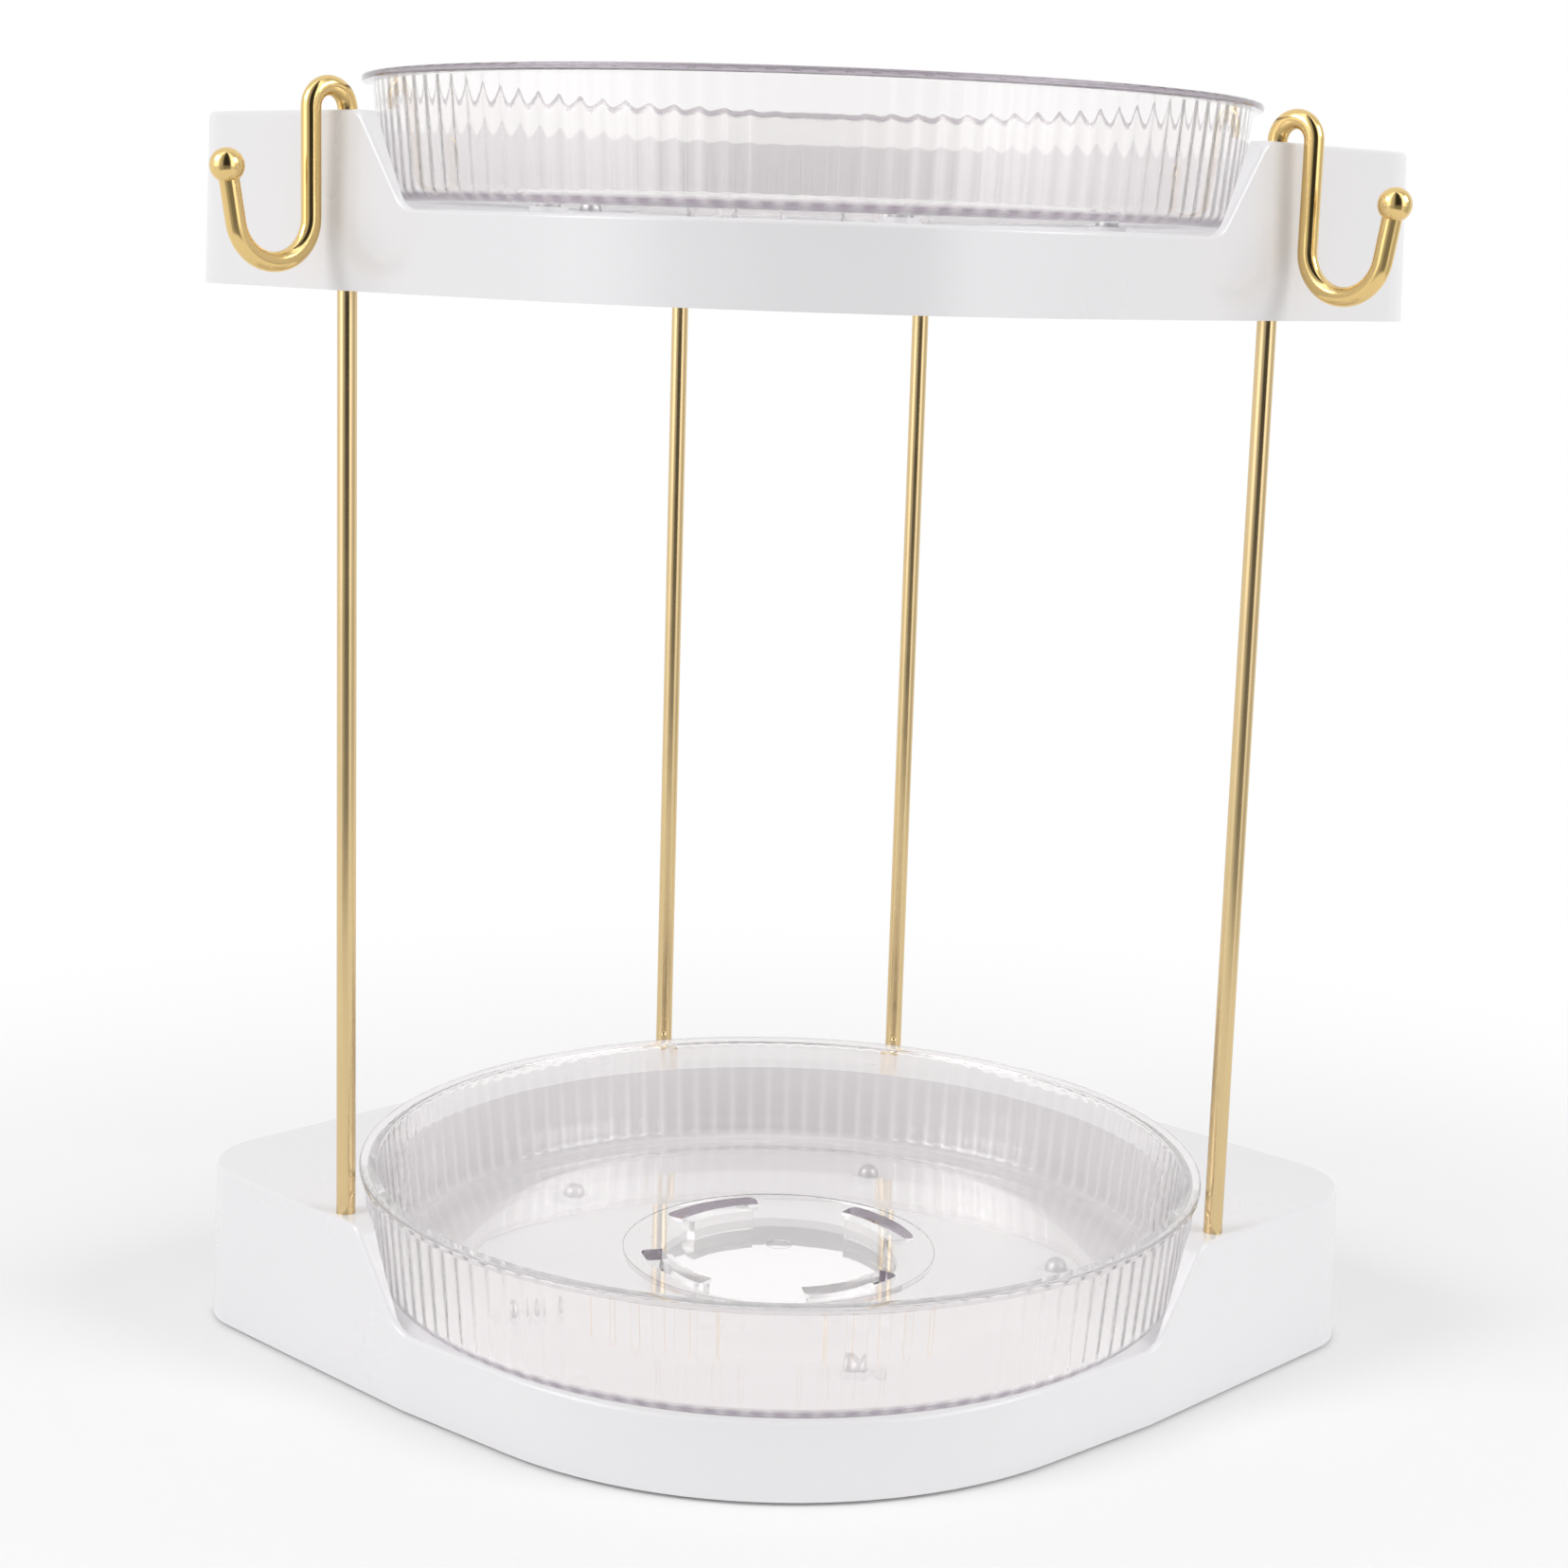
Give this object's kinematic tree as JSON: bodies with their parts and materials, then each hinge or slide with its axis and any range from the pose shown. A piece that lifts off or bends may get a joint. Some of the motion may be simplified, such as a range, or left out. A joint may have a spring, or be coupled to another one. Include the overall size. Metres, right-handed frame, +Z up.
{
  "type": "rotating makeup organizer",
  "caption": "Free-standing corner makeup organizer: white shell frames on gilt rods, each with a clear ribbed tray that spins on bearing balls, and gilt hooks at the front for jewellery.",
  "frame": {"origin": "middle of the footprint, on the surface that the feet stand on", "axes": "+Z up, -Y towards the round front, +X to the right seen from the front"},
  "size_m": [0.3174, 0.257, 0.3393],
  "materials": {
    "white_plastic": "moulded white, semi-gloss",
    "clear_plastic": "clear, polished",
    "gilt_metal": "polished gilt",
    "brass_insert": "turned",
    "screw_steel": "zinc plated",
    "ball_steel": "polished",
    "foot_rubber": "matt"
  },
  "bodies": {
    "stand": {"lower_frame": "white_plastic", "upper_frame": "white_plastic", "rod_front_left": "gilt_metal", "rod_front_right": "gilt_metal", "rod_rear_left": "gilt_metal", "rod_rear_right": "gilt_metal", "foot_front": "foot_rubber", "foot_left": "foot_rubber", "foot_right": "foot_rubber", "foot_rear": "foot_rubber", "lower_rod_inserts": "brass_insert", "upper_rod_inserts": "brass_insert", "lower_rod_screws": "screw_steel", "upper_rear_screws": "screw_steel"},
    "lower_turntable": {"lower_tray": "clear_plastic"},
    "upper_turntable": {"upper_tray": "clear_plastic"},
    "left_hook": {"hook_left": "gilt_metal", "hook_left_knob": "gilt_metal"},
    "right_hook": {"hook_right": "gilt_metal", "hook_right_knob": "gilt_metal"},
    "lower_ball_1": {"lower_bearing_ball_1": "ball_steel"},
    "lower_ball_2": {"lower_bearing_ball_2": "ball_steel"},
    "lower_ball_3": {"lower_bearing_ball_3": "ball_steel"},
    "lower_ball_4": {"lower_bearing_ball_4": "ball_steel"},
    "lower_ball_5": {"lower_bearing_ball_5": "ball_steel"},
    "upper_ball_1": {"upper_bearing_ball_1": "ball_steel"},
    "upper_ball_2": {"upper_bearing_ball_2": "ball_steel"},
    "upper_ball_3": {"upper_bearing_ball_3": "ball_steel"},
    "upper_ball_4": {"upper_bearing_ball_4": "ball_steel"},
    "upper_ball_5": {"upper_bearing_ball_5": "ball_steel"}
  },
  "joints": [
    {"name": "lower_turntable_spin", "type": "hinge", "parent": "stand", "child": "lower_turntable", "pos_m": [0, -0.0135, 0.02325], "axis": [0, 0, 1], "continuous": true},
    {"name": "upper_turntable_spin", "type": "hinge", "parent": "stand", "child": "upper_turntable", "pos_m": [0, -0.0135, 0.30835], "axis": [0, 0, 1], "continuous": true},
    {"name": "left_hook_swivel", "type": "hinge", "parent": "stand", "child": "left_hook", "pos_m": [-0.11549, -0.04219, 0.3299], "axis": [0, 0, 1], "range_deg": [-30, 30]},
    {"name": "right_hook_swivel", "type": "hinge", "parent": "stand", "child": "right_hook", "pos_m": [0.11549, -0.04219, 0.3299], "axis": [0, 0, 1], "range_deg": [-30, 30]},
    {"name": "lower_ball_1_roll", "type": "hinge", "parent": "stand", "child": "lower_ball_1", "pos_m": [0.07689, -0.01753, 0.02325], "axis": [0.9986, -0.0523, 0], "continuous": true},
    {"name": "lower_ball_2_roll", "type": "hinge", "parent": "stand", "child": "lower_ball_2", "pos_m": [0.02759, 0.05839, 0.02325], "axis": [0.3584, 0.9336, 0], "continuous": true},
    {"name": "lower_ball_3_roll", "type": "hinge", "parent": "stand", "child": "lower_ball_3", "pos_m": [-0.05984, 0.03496, 0.02325], "axis": [-0.7771, 0.6293, 0], "continuous": true},
    {"name": "lower_ball_4_roll", "type": "hinge", "parent": "stand", "child": "lower_ball_4", "pos_m": [-0.06458, -0.05544, 0.02325], "axis": [-0.8387, -0.5446, 0], "continuous": true},
    {"name": "lower_ball_5_roll", "type": "hinge", "parent": "stand", "child": "lower_ball_5", "pos_m": [0.01993, -0.08787, 0.02325], "axis": [0.2588, -0.9659, 0], "continuous": true},
    {"name": "upper_ball_1_roll", "type": "hinge", "parent": "stand", "child": "upper_ball_1", "pos_m": [0.07689, -0.01753, 0.30835], "axis": [0.9986, -0.0523, 0], "continuous": true},
    {"name": "upper_ball_2_roll", "type": "hinge", "parent": "stand", "child": "upper_ball_2", "pos_m": [0.02759, 0.05839, 0.30835], "axis": [0.3584, 0.9336, 0], "continuous": true},
    {"name": "upper_ball_3_roll", "type": "hinge", "parent": "stand", "child": "upper_ball_3", "pos_m": [-0.05984, 0.03496, 0.30835], "axis": [-0.7771, 0.6293, 0], "continuous": true},
    {"name": "upper_ball_4_roll", "type": "hinge", "parent": "stand", "child": "upper_ball_4", "pos_m": [-0.06458, -0.05544, 0.30835], "axis": [-0.8387, -0.5446, 0], "continuous": true},
    {"name": "upper_ball_5_roll", "type": "hinge", "parent": "stand", "child": "upper_ball_5", "pos_m": [0.01993, -0.08787, 0.30835], "axis": [0.2588, -0.9659, 0], "continuous": true}
  ],
  "couplings": [
    {"joint": "lower_ball_1_roll", "follows": "lower_turntable_spin", "ratio": -25.667},
    {"joint": "lower_ball_2_roll", "follows": "lower_turntable_spin", "ratio": -25.667},
    {"joint": "lower_ball_3_roll", "follows": "lower_turntable_spin", "ratio": -25.667},
    {"joint": "lower_ball_4_roll", "follows": "lower_turntable_spin", "ratio": -25.667},
    {"joint": "lower_ball_5_roll", "follows": "lower_turntable_spin", "ratio": -25.667},
    {"joint": "upper_ball_1_roll", "follows": "upper_turntable_spin", "ratio": -25.667},
    {"joint": "upper_ball_2_roll", "follows": "upper_turntable_spin", "ratio": -25.667},
    {"joint": "upper_ball_3_roll", "follows": "upper_turntable_spin", "ratio": -25.667},
    {"joint": "upper_ball_4_roll", "follows": "upper_turntable_spin", "ratio": -25.667},
    {"joint": "upper_ball_5_roll", "follows": "upper_turntable_spin", "ratio": -25.667}
  ]
}
